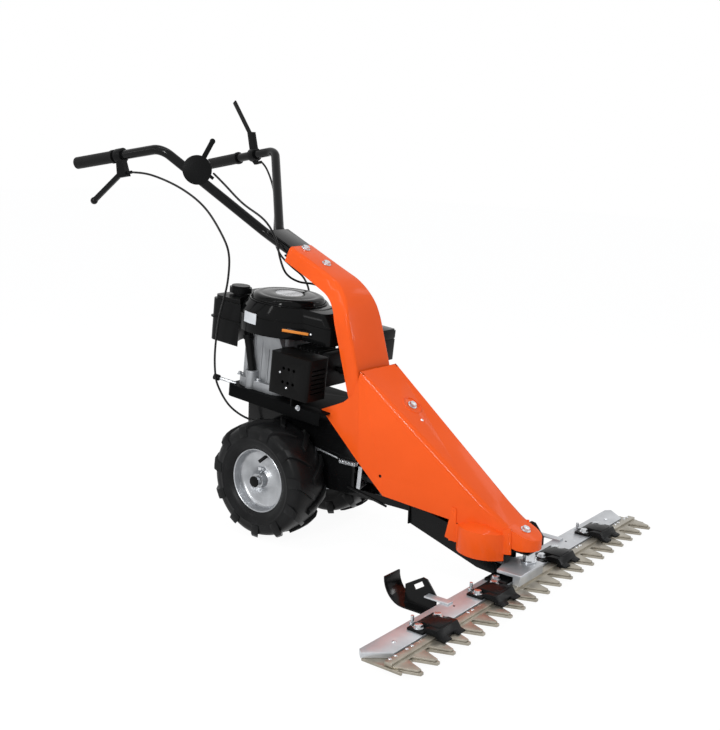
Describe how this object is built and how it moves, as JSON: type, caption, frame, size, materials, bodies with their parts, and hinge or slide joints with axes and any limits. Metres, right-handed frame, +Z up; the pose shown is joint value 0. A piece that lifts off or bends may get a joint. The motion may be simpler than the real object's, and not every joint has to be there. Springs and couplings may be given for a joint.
{
  "type": "sickle bar mower",
  "caption": "Two-wheel walk-behind sickle bar mower with a vertical-shaft engine, belt-driven eccentric under a long sheet cover, and a wide comb-and-knife cutter bar.",
  "frame": {"origin": "on the ground under the middle of the bounding box", "axes": "+Z up, -Y the mower's front with the cutter bar, -X the mower's right side"},
  "size_m": [1.224, 1.4706, 1.1956],
  "materials": {
    "orange_paint": "gloss",
    "black_paint": "satin",
    "heat_black": "matt",
    "silver_paint": "satin",
    "zinc_steel": "satin",
    "blade_steel": "ground",
    "cast_aluminium": "as cast",
    "black_plastic": "grained",
    "grip_rubber": "matt",
    "belt_rubber": "matt",
    "tyre": "matt"
  },
  "bodies": {
    "frame": {"chassis": "black_paint", "gearbox": "black_paint", "deck": "black_paint", "crankcase": "cast_aluminium", "cylinder_head": "cast_aluminium", "shroud": "black_plastic", "recoil": "black_plastic", "fuel_tank": "black_plastic", "oil_tube": "black_plastic", "silencer_guard": "heat_black", "air_filter": "black_plastic", "carburettor": "cast_aluminium", "spark_plug": "black_plastic", "belt_wheel": "belt_rubber", "belt_knife": "belt_rubber", "ecc_housing": "black_paint", "cover": "orange_paint", "ecc_guards": "orange_paint", "panel_bolts": "zinc_steel", "neck": "orange_paint", "column": "black_paint", "handle_r": "black_paint", "handle_l": "black_paint", "grips": "grip_rubber", "clutch_mount": "black_plastic", "drive_mount": "black_plastic", "throttle_box": "black_plastic", "cable_clutch": "black_plastic", "cable_throttle": "black_plastic", "cable_drive": "black_plastic", "cable_stop": "black_paint", "carrier": "black_paint", "bar_plate": "blade_steel", "comb": "blade_steel", "knife_holders": "black_paint", "bar_bolts": "zinc_steel", "skids": "black_paint", "skid_strips": "blade_steel"},
    "wheels": {"axle": "zinc_steel", "rims": "silver_paint", "tyres": "tyre", "hub_pins": "zinc_steel"},
    "knife": {"knife": "blade_steel", "drive_plate": "blade_steel", "drive_bolt": "zinc_steel"},
    "crank": {"crankshaft": "zinc_steel", "crank_pulley": "zinc_steel"},
    "gear_input": {"gear_pulley": "zinc_steel"},
    "eccentric": {"ecc_pulley": "zinc_steel", "ecc_shaft": "zinc_steel"},
    "idler": {"idler_arm": "zinc_steel"},
    "idler_wheel": {"idler_pulley": "zinc_steel"},
    "tension": {"spring": "zinc_steel", "spring_rod": "zinc_steel"},
    "clutch_lever": {"clutch_lever": "black_paint"},
    "drive_lever": {"drive_lever": "black_paint"},
    "throttle_lever": {"throttle_lever": "black_plastic"},
    "fuel_cap": {"fuel_cap": "black_plastic"},
    "dipstick": {"dipstick": "black_plastic"},
    "starter_grip": {"starter_grip": "black_plastic"}
  },
  "joints": [
    {"name": "wheel_turn", "type": "hinge", "parent": "frame", "child": "wheels", "pos_m": [0, 0.08371, 0.165], "axis": [1, 0, 0], "continuous": true},
    {"name": "knife_stroke", "type": "slide", "parent": "frame", "child": "knife", "axis": [1, 0, 0], "range_m": [-0.025, 0.025]},
    {"name": "crank_turn", "type": "hinge", "parent": "frame", "child": "crank", "pos_m": [0, 0.17071, 0.388], "axis": [0, -0.0872, 0.9962], "continuous": true},
    {"name": "gear_turn", "type": "hinge", "parent": "frame", "child": "gear_input", "pos_m": [0, 0.06033, 0.24985], "axis": [0, -0.0872, 0.9962], "continuous": true},
    {"name": "eccentric_turn", "type": "hinge", "parent": "frame", "child": "eccentric", "pos_m": [0, -0.54114, 0.16009], "axis": [0, -0.0872, 0.9962], "continuous": true},
    {"name": "idler_swing", "type": "hinge", "parent": "frame", "child": "idler", "pos_m": [0.014, -0.15266, 0.18304], "axis": [0, -0.0872, 0.9962], "range_deg": [-8, 0]},
    {"name": "idler_turn", "type": "hinge", "parent": "idler", "child": "idler_wheel", "pos_m": [-0.002, -0.23331, 0.18702], "axis": [0, -0.0872, 0.9962], "continuous": true},
    {"name": "spring_pull", "type": "slide", "parent": "frame", "child": "tension", "axis": [0, 1, 0], "range_m": [0, 0.01169]},
    {"name": "clutch_squeeze", "type": "hinge", "parent": "frame", "child": "clutch_lever", "pos_m": [-0.24816, 0.55859, 0.97557], "axis": [0.9936, 0.1132, 0], "range_deg": [0, 28], "stiffness_Nm_per_rad": 2, "springref_deg": -17.19},
    {"name": "drive_press", "type": "hinge", "parent": "frame", "child": "drive_lever", "pos_m": [0.24504, 0.53114, 1.08966], "axis": [-0.9936, 0.1132, 0], "range_deg": [0, 45], "stiffness_Nm_per_rad": 2, "springref_deg": -17.19},
    {"name": "throttle_set", "type": "hinge", "parent": "frame", "child": "throttle_lever", "pos_m": [-0.16361, 0.34832, 0.99121], "axis": [0.7071, 0.7071, 0], "range_deg": [-25, 25]},
    {"name": "fuel_cap_twist", "type": "hinge", "parent": "frame", "child": "fuel_cap", "pos_m": [-0.04, 0.29636, 0.64995], "axis": [0, -0.0872, 0.9962], "range_deg": [0, 90]},
    {"name": "dipstick_twist", "type": "hinge", "parent": "frame", "child": "dipstick", "pos_m": [-0.09033, 0.20005, 0.44277], "axis": [0, 0.1822, 0.9833], "range_deg": [0, 90]},
    {"name": "starter_pull", "type": "slide", "parent": "frame", "child": "starter_grip", "axis": [1, 0, 0], "range_m": [0, 0.3], "stiffness_N_per_m": 15, "springref_m": -0.05}
  ],
  "couplings": [
    {"joint": "gear_turn", "follows": "crank_turn", "ratio": 0.43478},
    {"joint": "eccentric_turn", "follows": "crank_turn", "ratio": 0.43478},
    {"joint": "idler_swing", "follows": "clutch_squeeze", "ratio": -0.28571},
    {"joint": "spring_pull", "follows": "clutch_squeeze", "m_per_rad": 0.023919}
  ]
}
